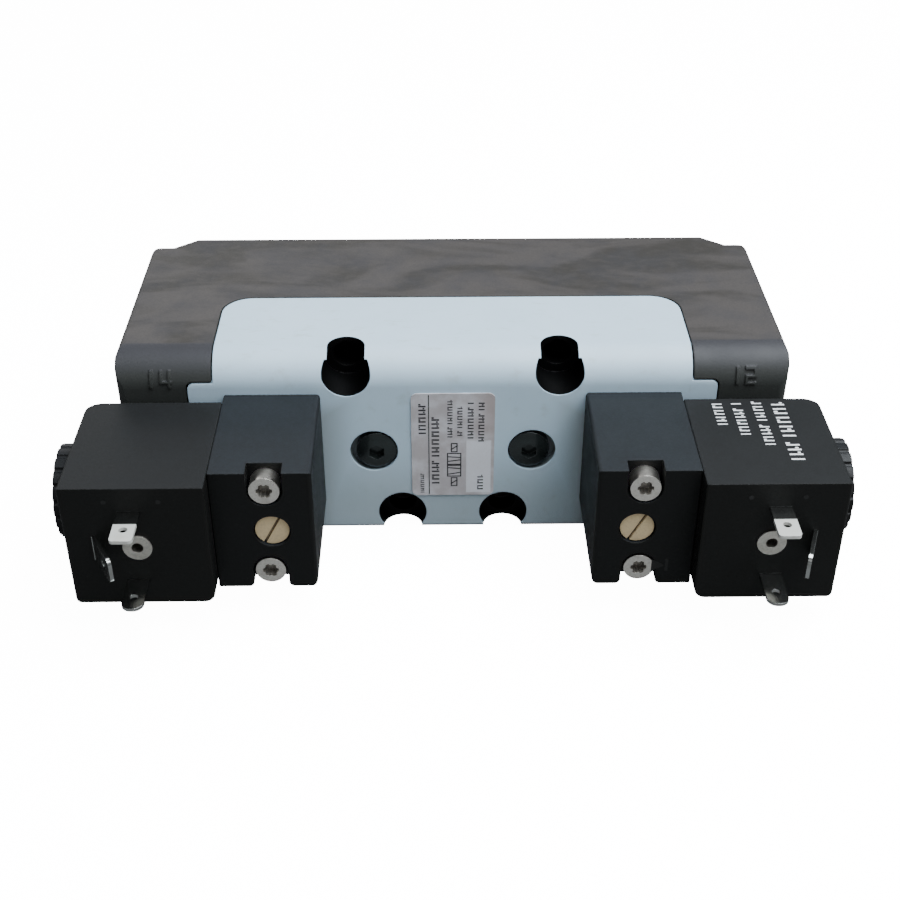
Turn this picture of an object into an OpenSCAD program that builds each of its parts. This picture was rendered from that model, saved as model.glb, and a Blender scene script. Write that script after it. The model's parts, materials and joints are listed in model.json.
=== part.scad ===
// Solenoid directional valve: five ports, two positions, with a solenoid pilot at each end.
// X runs along the valve, Y from the plug blades to the mounting face, and Z is up.
// The origin is the centre of the valve's underside. Sizes are in millimetres.

/* [Valve body] */
// Length of the cast body
body_len = 153.5; // [150:0.5:158]
// Height of the valve as it lies
body_h = 47.5; // [47:0.1:49]
// Depth of the body, from its front to the mounting face
body_depth = 62.4; // [60:0.2:66]
// Radius of the long upper front edge
brow_r = 7.5; // [5:0.5:9]
// Length of the raised foot that carries the mounting face
foot_len = 129; // [126:1:132]
// How far the foot stands behind the body's ends
foot_step = 5.4; // [4:0.2:8]

/* [Pilot housing] */
// Width of the housing's top panel
panel_w = 109.2; // [106:0.2:112]
// Depth of the top panel
panel_depth = 29.4; // [27:0.2:32]
// Width of the housing's front plate
plate_w = 121; // [118:1:126]
// Height of the front plate's two side tabs
tab_h = 41.3; // [40:0.1:42]
// Thickness of the front plate
plate_t = 10; // [9:0.5:12]

/* [Mounting screws] */
// Distance between the two upper screws
upper_pitch = 48.8; // [46:0.2:52]
// Distance between the two lower screws
lower_pitch = 24.2; // [22:0.2:26]
// Distance of the upper screws from the top
upper_inset = 4.3; // [3.8:0.1:4.6]
// Distance of the lower screws from the underside
lower_inset = 4.7; // [4.2:0.1:5]
// Diameter of the upper screw pockets
upper_pocket_d = 11; // [10.4:0.1:11.2]
// Diameter of the lower screw pockets
lower_pocket_d = 11.5; // [11:0.1:12]
// Diameter of the screw holes
hole_d = 6.6; // [6.4:0.1:7]

/* [Pilots] */
// Width of a pilot block
pilot_w = 22; // [21.6:0.1:22.6]
// Height of the pilot blocks and coils
pilot_h = 30.5; // [29:0.5:32]
// Depth of a pilot block with its gasket
pilot_depth = 31.6; // [30:0.2:33]
// Distance between the two pilot blocks
pilot_gap = 60.6; // [60:0.2:62]
// Height of the pilot blocks' undersides
pilot_z = 8.1; // [7:0.1:9]

/* [Coils] */
// Length of a coil
coil_len = 30.6; // [30.6:0.2:33]
// Depth of a coil
coil_depth = 33.2; // [32.4:0.2:34]
// How far a coil stands in front of its pilot block
coil_proud = 5.1; // [4.5:0.1:5.6]
// Distance from a coil's front to its axis
axis_depth = 21; // [20.6:0.1:21.2]
// Distance from the plug's centre to each blade
blade_pitch = 9; // [8.5:0.1:9.5]
// Length of the blades in front of the coil
blade_reach = 10; // [9:0.5:12]
// Diameter of a coil nut
nut_d = 21; // [19:0.5:23]
// Length of a coil nut
nut_len = 4.5; // [4:0.1:6]

/* [Spool] */
// Travel of the spool
spool_travel = 8; // [6:0.5:8]
// Radius of the sleeve's bore
sleeve_bore_r = 8.5; // [8:0.1:8.7]
// Radius of the piston bores
piston_bore_r = 13; // [12.8:0.1:13.4]
// Travel of a pilot plunger
plunger_travel = 0.8; // [0.5:0.1:0.8]

/* [Hidden] */
$fn = 48;

over = 1;        // how far a cutter runs past the face that it cuts
fit_gap = 0.05;  // radial gap of a running or sliding fit
seam = 0.35;     // gap round the pilot housing, where it is let into the body

// Depths, from the back to the front
overall_depth = blade_reach + coil_proud + pilot_depth + body_depth;
mount_y = overall_depth / 2;
front_y = mount_y - body_depth;
pilot_y = front_y - pilot_depth;
coil_y = pilot_y - coil_proud;

// Solenoid axis, and the X of each face along it on the +X side
axis_y = coil_y + axis_depth;
axis_z = pilot_z + pilot_h / 2;
pilot_x = pilot_gap / 2;
coil_x = pilot_x + pilot_w;
coil_end = coil_x + coil_len;
pilot_mid = pilot_x + pilot_w / 2;
plug_x = coil_x + coil_len / 2;

// Pilot housing
shelf_z = 37;
gasket_t = 0.5;
pilot_gasket_t = 0.4;
label_w = 19.4;
label_h = 28.6;
label_z = 24.2;
label_t = 0.3;
cover_pitch = 35.8;
cover_z = 22.5;
cover_seat = 2.6;
cover_head_r = 4.75;
cover_head_h = 3.2;
cover_crown = 1;
draft = 1.2;        // how much narrower each end of the body is at the underside
foot_slope = 6.6;   // run of the slope between the foot and each end
number_z = 40.4;
upper_pocket_depth = 10.4;
lower_pocket_depth = 5.3;
upper_slot_w = 8.5;
lower_slot_w = 9.2;
pocket_shoulder = 2.6;   // height of an upper pocket's round part above its centre
pocket_skin = 0.8;       // thickness left under a lower pocket, beside its slot
number_t = 0.35;

// Spool bore
bore_y = 28;
bore_z = 22;
bore_r = 11.5;
sleeve_len = 84;
port_pitch = 14;
port_r = 5;
port_inner_r = 3.6;
port_z = [15.5, 28.5];
pilot_port_x = 51;
pilot_port_r = 2;
face_gasket_t = 1.6;
lands = [[-35.5, 4], [-25, 3], [0, 10], [25, 3], [35.5, 4]];
land_rings = [-35.5, -25, -3.6, 3.6, 25, 35.5];
piston_x = 48;
piston_t = 9;
plug_inner = 66;
plug_t = 8;

// Pilot valve
pilot_screw_x = pilot_mid - 0.8;
pilot_screw_dz = 10.7;
override_x = pilot_mid - 1.8;
override_slot_angle = 62;
chamber_floor = pilot_x + 13.9;
seat_x = chamber_floor + 1.6;
core_x = coil_x + 18.1;
plunger_len = core_x - plunger_travel - 0.1 - seat_x;
tube_r = 6.6;
plunger_r = 4.5;

// ---- Shapes used by several pieces ----

// A square whose lower-left corner is taken off by a radius, for cutting.
module corner_2d(r) {
    difference() {
        translate([-over, -over]) square(r + over);
        translate([r, r]) circle(r);
    }
}

// A rectangle from the origin, with the radii of its corners given from the lower left, anticlockwise.
module rounded_2d(w, h, r) {
    difference() {
        square([w, h]);
        if (r[0] > 0) corner_2d(r[0]);
        if (r[1] > 0) translate([w, 0]) rotate(90) corner_2d(r[1]);
        if (r[2] > 0) translate([w, h]) rotate(180) corner_2d(r[2]);
        if (r[3] > 0) translate([0, h]) rotate(270) corner_2d(r[3]);
    }
}

// Extrusions of a flat outline along each axis. The outline's axes are (Y, Z), (X, Z) and (X, Y).
module along_x(x, len) {
    translate([x, 0, 0]) rotate([90, 0, 90]) linear_extrude(len) children();
}

module along_y(y, len) {
    translate([0, y + len, 0]) rotate([90, 0, 0]) linear_extrude(len) children();
}

module along_z(z, len) {
    translate([0, 0, z]) linear_extrude(len) children();
}

// A cylinder from a point, along each axis.
module rod_x(p, r, len) {
    translate(p) rotate([0, 90, 0]) cylinder(r = r, h = len);
}

module rod_y(p, r, len) {
    translate(p) rotate([-90, 0, 0]) cylinder(r = r, h = len);
}

// A ring of square section about X, from x along len.
module band_x(p, r_in, r_out, len) {
    translate(p) rotate([0, 90, 0]) difference() {
        cylinder(r = r_out, h = len);
        translate([0, 0, -over]) cylinder(r = r_in, h = len + 2 * over);
    }
}

// A round-section ring about X.
module o_ring_x(p, mean_r, wire_r) {
    translate(p) rotate([0, 90, 0]) rotate_extrude() translate([mean_r, 0]) circle(wire_r, $fn = 24);
}

// The piece is drawn on the +X side, and mirrored for the left.
module on_left() {
    mirror([1, 0, 0]) children();
}

module both_sides() {
    for (s = [0, 1]) mirror([s, 0, 0]) children();
}

// The six-lobed recess of a screw head.
module star_2d(r) {
    difference() {
        circle(r);
        for (k = [0:5]) rotate(60 * k + 30) translate([r * 1.06, 0]) circle(r * 0.26, $fn = 24);
    }
}

// ---- Valve body ----

// The long profile shared by the body and the pilot housing.
module long_profile_2d(bottom_r) {
    translate([front_y, 0]) rounded_2d(body_depth, body_h, [bottom_r, 1, 1, brow_r]);
}

// The body's plan: rounded front corners, and a foot that stands out at the back.
module plan_2d() {
    half = body_len / 2;
    foot = foot_len / 2;
    step_y = mount_y - foot_step;
    difference() {
        polygon([
            [-half, front_y], [half, front_y], [half, step_y],
            [foot + foot_slope, step_y], [foot, mount_y],
            [-foot, mount_y], [-foot - foot_slope, step_y], [-half, step_y]
        ]);
        translate([-half, front_y]) corner_2d(2);
        translate([half, front_y]) rotate(90) corner_2d(2);
        translate([half, step_y]) rotate(180) corner_2d(2.5);
        translate([-half, step_y]) rotate(270) corner_2d(2.5);
    }
}

// The space that the pilot housing takes, grown by g, with the front plate's back at depth t.
module housing_space(g, t) {
    along_y(front_y - over, t + over) {
        translate([-plate_w / 2 - g, -over])
            rounded_2d(plate_w + 2 * g, tab_h + over + g, [0, 0, 1.5, 1.5]);
        translate([-panel_w / 2 - g, 0]) square([panel_w + 2 * g, body_h + over]);
    }
    along_z(shelf_z - g, body_h - shelf_z + g + over)
        translate([-panel_w / 2 - g, front_y - over])
            rounded_2d(panel_w + 2 * g, panel_depth + over + g, [0, 0, 7, 7]);
}

// The body's outline from the front, a little narrower at the underside.
module front_2d() {
    half = body_len / 2;
    difference() {
        polygon([[-half + draft, 0], [half - draft, 0], [half, body_h], [-half, body_h]]);
        translate([half, body_h]) rotate(180) corner_2d(1.5);
        translate([-half, body_h]) rotate(270) corner_2d(1.5);
    }
}

// Port numbers as strokes in the (X, Z) plane, each [x, z, w, h].
ONE = [[0.9, 0, 0.7, 4]];
TWO = [[0, 3.4, 2.6, 0.7], [2, 1.7, 0.6, 2.4], [0, 1.7, 2.6, 0.6], [0, 0, 0.6, 2.3], [0, 0, 2.6, 0.6]];
FOUR = [[0, 1.1, 2.8, 0.6], [0, 1.1, 0.6, 2.9], [1.9, 0, 0.6, 4]];

module strokes_2d(strokes) {
    for (s = strokes) translate([s[0], s[1]]) square([s[2], s[3]]);
}

// The numbers follow the rounded front, and stand out of it a little.
module port_numbers() {
    intersection() {
        along_y(front_y - over, 3) {
            translate([-69.8, number_z]) strokes_2d(ONE);
            translate([-66.6, number_z]) strokes_2d(FOUR);
            translate([63.6, number_z]) strokes_2d(ONE);
            translate([66.6, number_z]) strokes_2d(TWO);
        }
        along_x(-body_len / 2, body_len) translate([-number_t, number_t / 2]) long_profile_2d(1.2);
    }
}

// The four mounting screws, each [x, z].
upper_screws = [for (s = [-1, 1]) [s * upper_pitch / 2, body_h - upper_inset]];
lower_screws = [for (s = [-1, 1]) [s * lower_pitch / 2, lower_inset]];

// Holes for the mounting screws, right through.
module mounting_holes() {
    for (p = concat(upper_screws, lower_screws))
        rod_y([p[0], front_y - over, p[1]], hole_d / 2, body_depth + 2 * over);
}

// A round-ended slot that lets a screw pocket out through the top or the underside.
module pocket_slot(x, z, w, depth, h) {
    along_z(z, h) {
        translate([x - w / 2, front_y - over]) square([w, depth - w / 2 + over]);
        translate([x, front_y + depth - w / 2]) circle(w / 2);
    }
}

// A round pocket from the front, cut off flat at two heights.
module pocket_round(x, z, d, depth, z_low, z_high) {
    intersection() {
        rod_y([x, front_y - over, z], d / 2, depth + over);
        translate([x - d, front_y - 2 * over, z_low]) cube([2 * d, depth + 3 * over, z_high - z_low]);
    }
}

// The screws' heads sit in keyhole-shaped pockets.
module screw_pockets() {
    for (p = upper_screws) {
        pocket_round(p[0], p[1], upper_pocket_d, upper_pocket_depth, 0, p[1] + pocket_shoulder);
        pocket_slot(p[0], p[1], upper_slot_w, upper_pocket_depth, body_h);
    }
    for (p = lower_screws) {
        pocket_round(p[0], p[1], lower_pocket_d, lower_pocket_depth, pocket_skin, body_h);
        pocket_slot(p[0], -over, lower_slot_w, lower_pocket_depth, lower_inset + over);
    }
}

// The five main ports, as [x, z], and the two pilot ports.
ports = [[0, port_z[0]], [port_pitch, port_z[1]], [-port_pitch, port_z[1]],
    [2 * port_pitch, port_z[0]], [-2 * port_pitch, port_z[0]]];

module port_holes(r_more) {
    mouth_y = bore_y + bore_r + 0.5;
    for (p = ports) {
        rod_y([p[0], mouth_y, p[1]], port_r + r_more, mount_y - mouth_y + over);
        rod_y([p[0], bore_y, p[1]], port_inner_r, bore_r + over);
    }
    for (s = [-1, 1])
        rod_y([s * pilot_port_x, bore_y, bore_z], pilot_port_r + r_more, mount_y - bore_y + over);
}

module face_gasket_2d() {
    translate([-58, 9.3]) rounded_2d(116, 29.2, [5, 5, 5, 5]);
}

module main_body() {
    color([0.33, 0.32, 0.31]) difference() {
        union() {
            intersection() {
                along_x(-body_len / 2, body_len) long_profile_2d(1.2);
                along_z(-over, body_h + 2 * over) plan_2d();
                along_y(front_y - over, body_depth + 2 * over) front_2d();
            }
            port_numbers();
        }
        housing_space(seam, plate_t + gasket_t);
        mounting_holes();
        rod_x([-sleeve_len / 2 - over, bore_y, bore_z], bore_r, sleeve_len + 2 * over);
        both_sides() {
            rod_x([sleeve_len / 2 + 0.5, bore_y, bore_z], piston_bore_r, body_len / 2 - sleeve_len / 2);
            rod_x([plug_inner + plug_t, bore_y, bore_z], piston_bore_r + 1, 1.3);
        }
        port_holes(0);
        along_y(mount_y - face_gasket_t, face_gasket_t + over) face_gasket_2d();
        for (s = [-1, 1])
            rod_y([s * cover_pitch / 2, front_y, cover_z], 2.5, plate_t + 11);
    }
}

module interface_gasket() {
    color([0.08, 0.08, 0.09]) difference() {
        along_y(mount_y - face_gasket_t, face_gasket_t)
            translate([-57.9, 9.4]) rounded_2d(115.8, 29, [4.9, 4.9, 4.9, 4.9]);
        port_holes(0.5);
    }
}

// ---- Pilot housing ----

module pilot_housing() {
    color([0.70, 0.75, 0.79]) difference() {
        intersection() {
            housing_space(0, plate_t);
            along_x(-body_len / 2, body_len) long_profile_2d(1.2);
        }
        mounting_holes();
        screw_pockets();
        for (s = [-1, 1]) {
            rod_y([s * (cover_pitch / 2 + 0.6), front_y - over, cover_z + 0.1], 5.6, cover_seat + over);
            rod_y([s * cover_pitch / 2, front_y, cover_z], 2.7, plate_t + over);
        }
        both_sides() {
            for (dz = [-pilot_screw_dz, pilot_screw_dz])
                rod_y([pilot_screw_x, front_y - over, axis_z + dz], 2, plate_t - 1 + over);
            pilot_passages(front_y - over, plate_t + 2 * over);
        }
    }
}

module housing_gasket() {
    color([0.12, 0.12, 0.13]) difference() {
        along_y(front_y + plate_t, gasket_t)
            translate([-58, 10.5]) rounded_2d(116, 26, [2, 2, 2, 2]);
        for (s = [-1, 1])
            rod_y([s * cover_pitch / 2, front_y, cover_z], 2.9, plate_t + 2);
        both_sides() pilot_passages(front_y, plate_t + 2);
    }
}

// Button-head screws: a dome cut from a ball, with a hexagon socket.
module cover_screws() {
    head_y = cover_seat - cover_head_h;
    ball_r = (cover_head_r * cover_head_r + cover_crown * cover_crown) / (2 * cover_crown);
    color([0.07, 0.07, 0.07]) for (s = [-1, 1]) translate([s * cover_pitch / 2, front_y, cover_z])
        difference() {
            union() {
                intersection() {
                    rod_y([0, head_y - over, 0], cover_head_r, cover_head_h + over);
                    translate([0, head_y + ball_r, 0]) sphere(ball_r);
                }
                rod_y([0, cover_seat - fit_gap, 0], 2.45, 14);
            }
            along_y(head_y - over, 1.8 + over) rotate(30) circle(d = 4, $fn = 6);
        }
}

module rating_label() {
    color([0.68, 0.67, 0.69]) along_y(front_y - label_t, label_t)
        translate([-label_w / 2, label_z - label_h / 2])
            rounded_2d(label_w, label_h, [1.5, 1.5, 1.5, 1.5]);
}

// ---- Spool, sleeve and pistons ----

module sleeve() {
    half = sleeve_len / 2;
    color([0.78, 0.76, 0.70]) difference() {
        band_x([-half, bore_y, bore_z], sleeve_bore_r, bore_r - fit_gap, sleeve_len);
        // Windows and the grooves outside them, one set for each main port
        for (k = [-2:2]) {
            band_x([window_x(k) - 3.5, bore_y, bore_z], bore_r - 1.4, bore_r + over, 7);
            for (a = [0:60:120]) translate([window_x(k), bore_y, bore_z]) rotate([a, 0, 0])
                cylinder(r = 2.2, h = 3 * bore_r, center = true);
        }
        for (x = sleeve_ring_x) band_x([x - 0.9, bore_y, bore_z], bore_r - 1.4, bore_r + over, 1.8);
    }
}

// The outer windows stand a little closer than their ports, so that the lands clear them.
function window_x(k) = abs(k) == 2 ? sign(k) * 25.5 : k * port_pitch;
sleeve_ring_x = [-36, -20, -7, 7, 20, 36];

module sleeve_rings() {
    color([0.06, 0.06, 0.06])
        for (x = sleeve_ring_x) o_ring_x([x, bore_y, bore_z], bore_r - 0.75, 0.65);
}

// The spool rests at the left end of its travel.
spool_c = -spool_travel / 2;

module spool() {
    color([0.80, 0.81, 0.82]) difference() {
        union() {
            rod_x([spool_c - piston_x - 4, bore_y, bore_z], 4.5, 2 * piston_x + 8);
            for (l = lands) rod_x([spool_c + l[0] - l[1] / 2, bore_y, bore_z], sleeve_bore_r - 0.3, l[1]);
        }
        for (x = land_rings)
            band_x([spool_c + x - 0.8, bore_y, bore_z], sleeve_bore_r - 1.5, sleeve_bore_r + over, 1.6);
    }
}

module spool_rings() {
    color([0.10, 0.10, 0.10]) for (x = land_rings)
        band_x([spool_c + x - 0.75, bore_y, bore_z], sleeve_bore_r - 1.5, sleeve_bore_r - fit_gap, 1.5);
}

// s is -1 for the left piston and 1 for the right one.
module piston(s) {
    inner = spool_c + s * piston_x;
    x = s > 0 ? inner : inner - piston_t;
    color([0.75, 0.74, 0.71]) difference() {
        rod_x([x, bore_y, bore_z], piston_bore_r - 0.3, piston_t);
        band_x([x + 3, bore_y, bore_z], piston_bore_r - 2.5, piston_bore_r + over, 3);
        rod_x([s > 0 ? inner - over : inner - 4, bore_y, bore_z], 4.5, 4 + over);
    }
}

module piston_ring(s) {
    x = spool_c + s * (piston_x + piston_t / 2) - 1.5;
    color([0.10, 0.10, 0.10])
        band_x([x, bore_y, bore_z], piston_bore_r - 2.5, piston_bore_r - fit_gap, 3);
}

module end_plug() {
    stop_x = spool_travel / 2 + piston_x + piston_t + 0.3;
    color([0.30, 0.30, 0.31]) difference() {
        union() {
            rod_x([plug_inner, bore_y, bore_z], piston_bore_r - fit_gap, plug_t);
            rod_x([stop_x, bore_y, bore_z], 6, plug_inner - stop_x);
        }
        band_x([plug_inner + 3, bore_y, bore_z], piston_bore_r - 2, piston_bore_r + over, 2.4);
        rod_x([plug_inner + plug_t - 3, bore_y, bore_z], 2.5, 3 + over);
    }
}

module end_ring() {
    color([0.06, 0.06, 0.06]) o_ring_x([plug_inner + 4.2, bore_y, bore_z], piston_bore_r - 1, 0.95);
}

module end_clips() {
    color([0.45, 0.45, 0.46]) both_sides() difference() {
        band_x([plug_inner + plug_t, bore_y, bore_z], piston_bore_r - 2, piston_bore_r + 1, 1.2);
        translate([plug_inner + plug_t - over, bore_y - 2.5, bore_z + 8]) cube([4, 5, 10]);
    }
}

// ---- Pilot valve, drawn on the +X side ----

// Air passages between the pilot block and the body, as [x, z].
module pilot_passages(y, len) {
    for (p = [[pilot_x + 4, axis_z + 5], [pilot_x + 4, axis_z - 5]]) rod_y([p[0], y, p[1]], 1.2, len);
}

module pilot_block() {
    block_depth = pilot_depth - pilot_gasket_t;
    head_r = 3.85;
    color([0.12, 0.12, 0.13]) difference() {
        intersection() {
            along_y(pilot_y, block_depth)
                translate([pilot_x, pilot_z]) rounded_2d(pilot_w, pilot_h, [1.5, 0.3, 0.3, 0.8]);
            along_z(pilot_z, pilot_h)
                translate([pilot_x, pilot_y]) rounded_2d(pilot_w, block_depth, [0.8, 0.3, 0.3, 0.8]);
        }
        // Pockets of the two screws, open above and below, and the screws' holes
        for (dz = [-pilot_screw_dz, pilot_screw_dz])
            rod_y([pilot_screw_x, pilot_y - over, axis_z + dz], 2.1, pilot_depth + over);
        rod_y([pilot_screw_x, pilot_y - over, axis_z + pilot_screw_dz], head_r, 4 + over);
        translate([pilot_screw_x - head_r, pilot_y - over, axis_z + pilot_screw_dz])
            cube([2 * head_r, 4 + over, pilot_h]);
        rod_y([pilot_screw_x, pilot_y - over, axis_z - pilot_screw_dz], head_r, 4 + over);
        translate([pilot_screw_x - head_r, pilot_y - over, pilot_z - over])
            cube([2 * head_r, 4 + over, pilot_h / 2 - pilot_screw_dz + over]);
        along_y(pilot_y - over, 4 + over) for (s = [0, 1])
            translate([pilot_screw_x, pilot_z]) mirror([s, 0]) translate([head_r, 0]) corner_2d(1.2);
        // Override's recess and bore
        rod_y([override_x, pilot_y - over, axis_z], 4, 2.6 + over);
        rod_y([override_x, pilot_y, axis_z], 3, 6.9);
        // Nozzle's seat, the plunger's chamber and the socket of the core tube
        rod_x([chamber_floor - 1.8, axis_y, axis_z], 3, 2);
        rod_x([pilot_x + 4, axis_y, axis_z], 0.8, 10);
        rod_x([chamber_floor, axis_y, axis_z], 7.2, 4);
        rod_x([coil_x - 4.6, axis_y, axis_z], 8.05, 4.6 + over);
        rod_y([pilot_x + 4, axis_y, axis_z + 5], 1.2, pilot_depth);
        rod_y([pilot_x + 4, axis_y, axis_z - 5], 1.2, pilot_depth);
        translate([pilot_x + 4, axis_y + 1.2, axis_z - 5]) cylinder(r = 1.2, h = 10);
    }
}

module pilot_gasket() {
    color([0.05, 0.05, 0.05]) difference() {
        along_y(front_y - pilot_gasket_t, pilot_gasket_t)
            translate([pilot_x + 0.5, pilot_z + 0.5]) rounded_2d(pilot_w - 1, pilot_h - 1, [1, 1, 1, 1]);
        for (dz = [-pilot_screw_dz, pilot_screw_dz])
            rod_y([pilot_screw_x, front_y - 2, axis_z + dz], 2.2, 4);
        pilot_passages(front_y - 2, 4);
    }
}

module pilot_screws() {
    color([0.78, 0.78, 0.76]) for (dz = [-pilot_screw_dz, pilot_screw_dz])
        translate([pilot_screw_x, pilot_y, axis_z + dz]) difference() {
            union() {
                rod_y([0, 0, 0], 3.3, 4);
                rod_y([0, 3.9, 0], 1.95, pilot_depth + 4);
            }
            along_y(-over, 2.4 + over) star_2d(1.75);
        }
}

// The slot stands at the same slant on both sides, so the override is turned and not mirrored.
module override(x) {
    head_y = pilot_y + 0.6;
    color([0.72, 0.60, 0.38]) translate([x, 0, axis_z]) difference() {
        union() {
            rod_y([0, head_y, 0], 3.7, 1.9);
            rod_y([0, head_y + 1.9 - fit_gap, 0], 2.95, 3.3);
            rod_y([1.5, head_y + 5, 0], 0.9, 1.2);
        }
        rotate([0, -override_slot_angle, 0]) translate([-5, head_y - over, -0.3]) cube([10, 1 + over, 0.6]);
        translate([0, head_y + 3.6, 0]) rotate([90, 0, 0]) difference() {
            cylinder(r = 4, h = 1.1, center = true);
            cylinder(r = 2.1, h = 4, center = true);
        }
    }
}

module override_ring(x) {
    color([0.05, 0.05, 0.05]) translate([x, pilot_y + 4.2, axis_z])
        rotate([90, 0, 0]) rotate_extrude() translate([2.52, 0]) circle(0.42, $fn = 24);
}

module nozzle() {
    color([0.78, 0.66, 0.40]) difference() {
        union() {
            rod_x([chamber_floor - 1.8, axis_y, axis_z], 2.95, 1.8);
            rod_x([chamber_floor - 0.1, axis_y, axis_z], 1.4, seat_x - chamber_floor + fit_gap);
        }
        rod_x([chamber_floor - 3, axis_y, axis_z], 0.6, 6);
    }
}

module core_tube() {
    socket_x = coil_x - 4.6;
    color([0.70, 0.71, 0.72]) difference() {
        union() {
            rod_x([socket_x, axis_y, axis_z], 8, 4.6);
            rod_x([coil_x - 0.1, axis_y, axis_z], tube_r, coil_len - 0.3);
            rod_x([coil_end - 1, axis_y, axis_z], 5, nut_len);
        }
        rod_x([socket_x - over, axis_y, axis_z], plunger_r + 0.06, core_x - socket_x + over);
        band_x([socket_x + 1.4, axis_y, axis_z], 6.5, 8 + over, 1.7);
    }
}

module tube_ring() {
    color([0.05, 0.05, 0.05]) o_ring_x([coil_x - 4.6 + 2.25, axis_y, axis_z], 7.25, 0.74);
}

module plunger() {
    color([0.66, 0.67, 0.68]) difference() {
        rod_x([seat_x, axis_y, axis_z], plunger_r, plunger_len);
        rod_x([seat_x - over, axis_y, axis_z], 2.3, 1.8 + over);
        rod_x([seat_x + plunger_len - 10, axis_y, axis_z], 2.4, 10 + over);
    }
}

module plunger_seat() {
    color([0.12, 0.12, 0.12]) rod_x([seat_x, axis_y, axis_z], 2.3, 1.8);
}

// A round wire wound about X, as one closed mesh.
module wound_wire(coil_r, wire_r, len, turns) {
    steps = 14 * turns;
    sides = 6;
    points = [for (i = [0:steps], k = [0:sides - 1])
        let (a = 360 * turns * i / steps, b = 360 * k / sides, r = coil_r + wire_r * cos(b))
            [wire_r + (len - 2 * wire_r) * i / steps + wire_r * sin(b), r * cos(a), r * sin(a)]];
    walls = [for (i = [0:steps - 1], k = [0:sides - 1])
        let (a = i * sides + k, b = i * sides + (k + 1) % sides)
            [a, b, b + sides, a + sides]];
    ends = [[for (k = [sides - 1:-1:0]) k], [for (k = [0:sides - 1]) steps * sides + k]];
    polyhedron(points, concat(walls, ends));
}

module plunger_spring() {
    start = seat_x + plunger_len - 9.9;
    color([0.60, 0.61, 0.62]) translate([start, axis_y, axis_z])
        wound_wire(1.9, 0.3, core_x - 0.1 - start, 7);
}

// ---- Coil, drawn on the +X side ----

yoke_in = 3;      // from the coil's end face to the yoke
yoke_t = 2;       // thickness of the yoke's plates
yoke_half = 11;   // half of the yoke's height
yoke_back = 11.4; // from the axis to the yoke's back
flange_r = 10.2;  // radius of the bobbin's flanges
winding_r = 9.8;
blade_root = 2.2;    // how deep a blade is rooted in the coil
blade_offset = 0.8;  // how far the two power blades stand outside the plug's centre
left_bend = 30;
right_bend = 19;

// The yoke's U, grown by g: two plates with a third that joins them behind the winding.
module yoke_shape(g) {
    inner = coil_x + yoke_in;
    outer = coil_end - yoke_in;
    for (x = [inner, outer - yoke_t])
        translate([x - g, axis_y - yoke_half - g, axis_z - yoke_half - g])
            cube([yoke_t + 2 * g, yoke_half + yoke_back + 2 * g, 2 * (yoke_half + g)]);
    translate([inner - g, axis_y + flange_r + 0.15 - g, axis_z - yoke_half - g])
        cube([outer - inner + 2 * g, yoke_back - flange_r - 0.15 + 2 * g, 2 * (yoke_half + g)]);
}

module yoke() {
    color([0.50, 0.51, 0.52]) difference() {
        yoke_shape(0);
        rod_x([coil_x, axis_y, axis_z], 7, coil_len);
    }
}

module bobbin() {
    start = coil_x + yoke_in + yoke_t + fit_gap;
    len = coil_len - 2 * (yoke_in + yoke_t + fit_gap);
    color([0.85, 0.83, 0.76]) difference() {
        rod_x([start, axis_y, axis_z], flange_r, len);
        rod_x([start - over, axis_y, axis_z], 7, len + 2 * over);
        band_x([start + 1.2, axis_y, axis_z], 8, 14, len - 2.4);
    }
}

module winding() {
    start = coil_x + yoke_in + yoke_t + 1.3;
    color([0.72, 0.40, 0.22])
        band_x([start, axis_y, axis_z], 8, winding_r, coil_len - 2 * (yoke_in + yoke_t + 1.3));
}

// One blade pointing to the front, its wide face up. Its root is in the coil, and the rest is bent.
module blade(w, bend, tip_r) {
    t = 0.8;
    translate([0, coil_y, 0]) {
        along_z(-t / 2, t) translate([-w / 2, -0.3]) square([w, blade_root + 0.3]);
        rotate([bend, 0, 0]) difference() {
            along_z(-t / 2, t) translate([-w / 2, -blade_reach]) rounded_2d(w, blade_reach, [tip_r, tip_r, 0, 0]);
            translate([0, 3.8 - blade_reach, -t]) cylinder(r = 0.9, h = 2 * t);
        }
    }
}

// The middle blade's wide face looks along X, and it is bent towards the valve's middle.
module blade_set(bend) {
    translate([plug_x + blade_offset, 0, axis_z]) {
        translate([0, 0, blade_pitch]) blade(4.8, 0, 0.9);
        translate([0, 0, -blade_pitch]) blade(4.8, 0, 2.2);
        translate([blade_pitch - blade_offset, 0, 0]) rotate([0, 90, 0]) blade(6.3, bend, 1.7);
    }
}

module blades(bend) {
    color([0.72, 0.71, 0.66]) blade_set(bend);
}

module coil() {
    color([0.09, 0.09, 0.09]) difference() {
        intersection() {
            along_y(coil_y, coil_depth)
                translate([coil_x, pilot_z]) rounded_2d(coil_len, pilot_h, [2.5, 1.5, 0.8, 0.3]);
            along_z(pilot_z, pilot_h)
                translate([coil_x, coil_y]) rounded_2d(coil_len, coil_depth, [0.4, 0.8, 4, 0.4]);
        }
        yoke_shape(fit_gap);
        rod_x([coil_x + yoke_in, axis_y, axis_z], flange_r + 0.2, coil_len - 2 * yoke_in);
        rod_x([coil_x - over, axis_y, axis_z], 7.05, coil_len + 2 * over);
        blade_set(0);
        rod_y([plug_x, coil_y - over, axis_z], 3.15, 3.4 + over);
    }
}

module plug_insert() {
    color([0.74, 0.72, 0.66]) difference() {
        rod_y([plug_x, coil_y - 0.3, axis_z], 3.15, 3.7);
        rod_y([plug_x, coil_y - over, axis_z], 1.25, 6);
    }
}

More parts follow.
